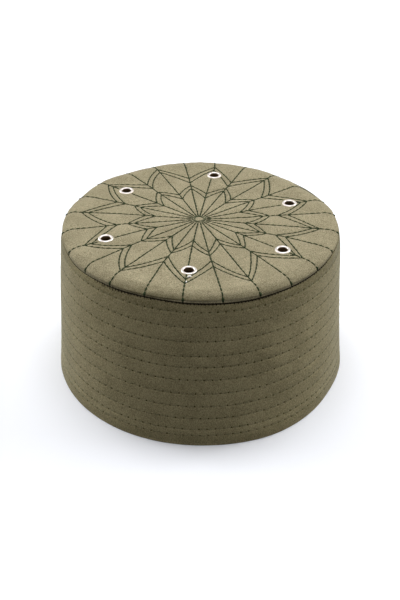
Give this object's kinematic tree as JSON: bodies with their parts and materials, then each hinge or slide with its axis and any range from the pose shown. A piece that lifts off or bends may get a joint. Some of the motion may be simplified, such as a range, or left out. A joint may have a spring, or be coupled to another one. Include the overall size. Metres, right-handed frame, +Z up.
{
  "type": "felt skullcap",
  "caption": "Round flat-topped felt skullcap: a quilted side band that widens to its rim, a stiff stitched top with a rolled edge, and rolled metal vent eyelets.",
  "frame": {"origin": "centre of the rim, on the surface that the cap stands on", "axes": "+Z up through the crown, -Y towards the wearer's forehead, +Y towards the back of the head"},
  "size_m": [0.1882, 0.1918, 0.1048],
  "materials": {
    "side_felt": "matt olive felt, stitched through in rows with dark green thread",
    "top_felt": "matt khaki felt, stitched through with dark green thread",
    "eyelet_metal": "polished nickel plate"
  },
  "bodies": {
    "root": {"side_band": "side_felt", "top_panel": "top_felt", "eyelet_1": "eyelet_metal", "eyelet_2": "eyelet_metal", "eyelet_3": "eyelet_metal", "eyelet_4": "eyelet_metal", "eyelet_5": "eyelet_metal", "eyelet_6": "eyelet_metal"}
  },
  "joints": []
}
